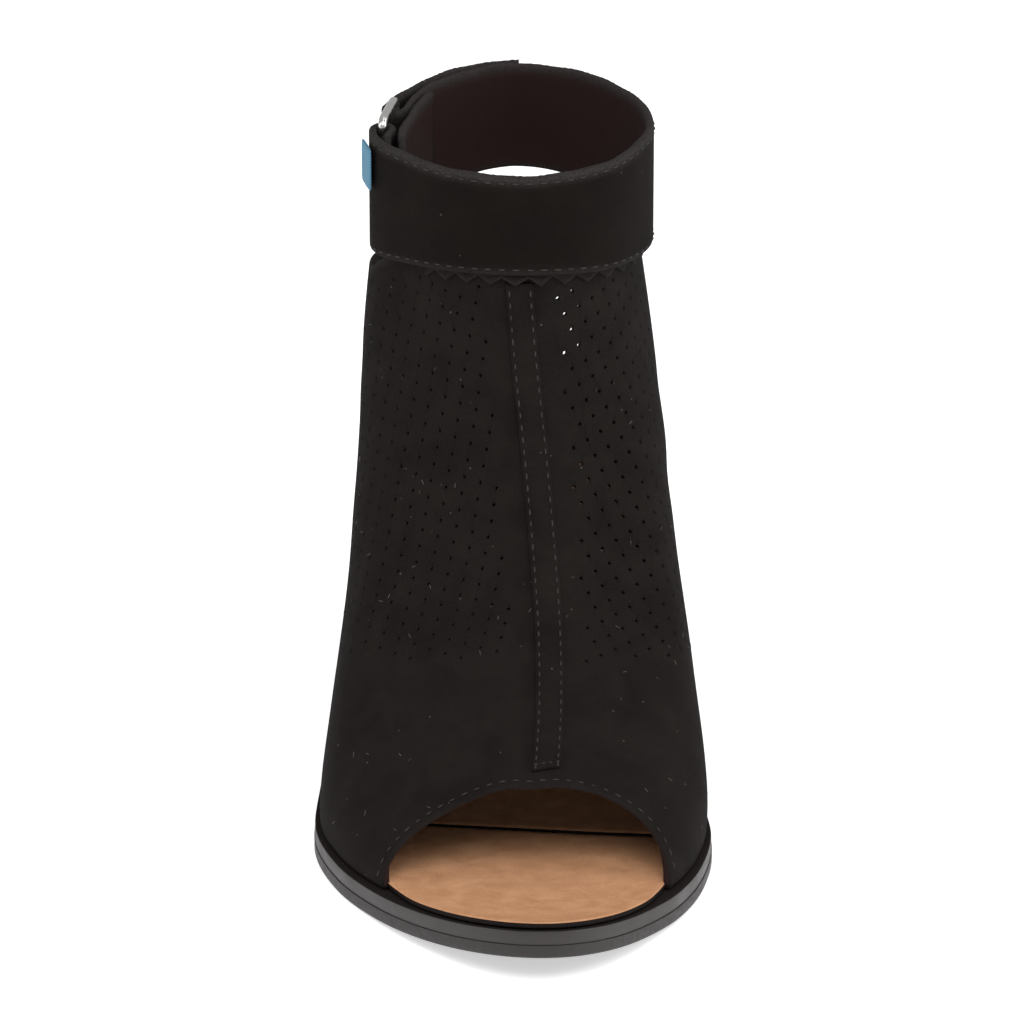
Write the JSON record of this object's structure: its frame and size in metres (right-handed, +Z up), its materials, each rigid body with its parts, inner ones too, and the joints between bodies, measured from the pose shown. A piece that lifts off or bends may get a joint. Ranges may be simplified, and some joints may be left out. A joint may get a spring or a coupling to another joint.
{
  "type": "peep-toe ankle-strap sandal",
  "caption": "Right black suede sandal with a peep toe, a high closed vamp, an open back, a broad ankle strap through a metal ring, and a low block heel.",
  "frame": {"origin": "on the floor, below the middle of the shoe's overall box", "axes": "+Z up, +Y from toe to heel, +X to the inner side of the right foot"},
  "size_m": [0.0934, 0.2256, 0.1594],
  "materials": {
    "black_suede": "black suede with a soft nap",
    "tan_suede": "tan suede lining leather",
    "outsole_rubber": "matt dark rubber",
    "midsole_rubber": "slightly glossy dark edge",
    "silver_metal": "polished silver-coloured metal",
    "woven_tab": "plain woven cloth"
  },
  "bodies": {
    "root": {"outsole": "outsole_rubber", "midsole": "midsole_rubber", "heel_block": "black_suede", "heel_top_lift": "outsole_rubber", "insole_forepart": "tan_suede", "insole_rear": "tan_suede", "upper": "black_suede", "centre_strip": "black_suede", "pinked_trim": "black_suede", "ankle_cuff": "black_suede", "underlay": "black_suede", "ring": "silver_metal", "tab": "woven_tab"}
  },
  "joints": []
}
